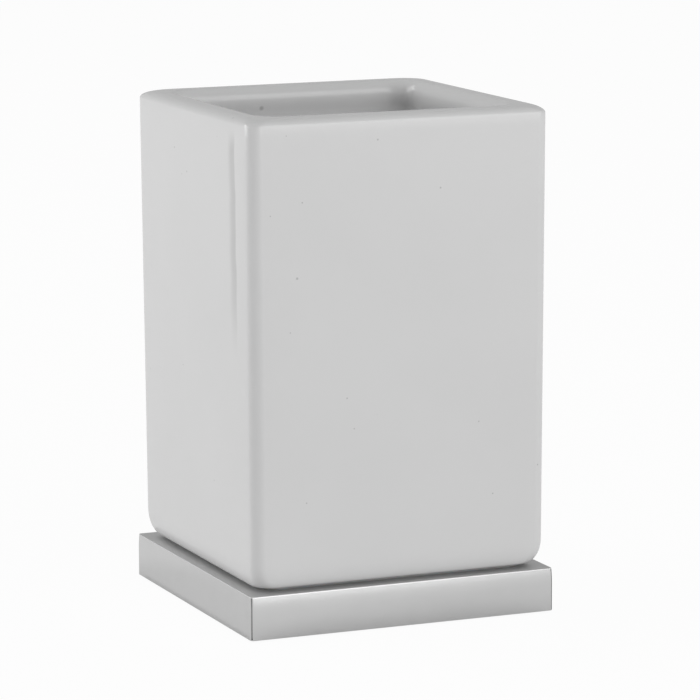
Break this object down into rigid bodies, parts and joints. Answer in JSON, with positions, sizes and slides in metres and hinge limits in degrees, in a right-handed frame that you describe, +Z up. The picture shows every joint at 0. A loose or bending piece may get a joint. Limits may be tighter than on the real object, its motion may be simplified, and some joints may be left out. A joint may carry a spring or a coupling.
{
  "type": "bathroom tumbler",
  "caption": "Square glazed ceramic tumbler with rounded edges that lifts off a low square chromed base with a soft seat and non-slip feet.",
  "frame": {"origin": "middle of the plane that the four feet stand on", "axes": "+Z up through the middle of the cup, +X along the front face to the right, +Y to the back"},
  "size_m": [0.0708, 0.0708, 0.1114],
  "materials": {
    "glazed_ceramic": "gloss white glaze",
    "seat_silicone": "satin",
    "polished_chrome": "mirror polish",
    "moulded_insert": "fine spark texture",
    "foot_rubber": "matte"
  },
  "bodies": {
    "stand": {"base_cover": "polished_chrome", "base_insert": "moulded_insert", "seat_mat": "seat_silicone", "foot_front_left": "foot_rubber", "foot_front_right": "foot_rubber", "foot_back_left": "foot_rubber", "foot_back_right": "foot_rubber"},
    "cup": {"tumbler": "glazed_ceramic"}
  },
  "joints": [
    {"name": "tumbler_lift", "type": "slide", "parent": "stand", "child": "cup", "axis": [0, 0, 1], "range_m": [0, 0.06]}
  ]
}
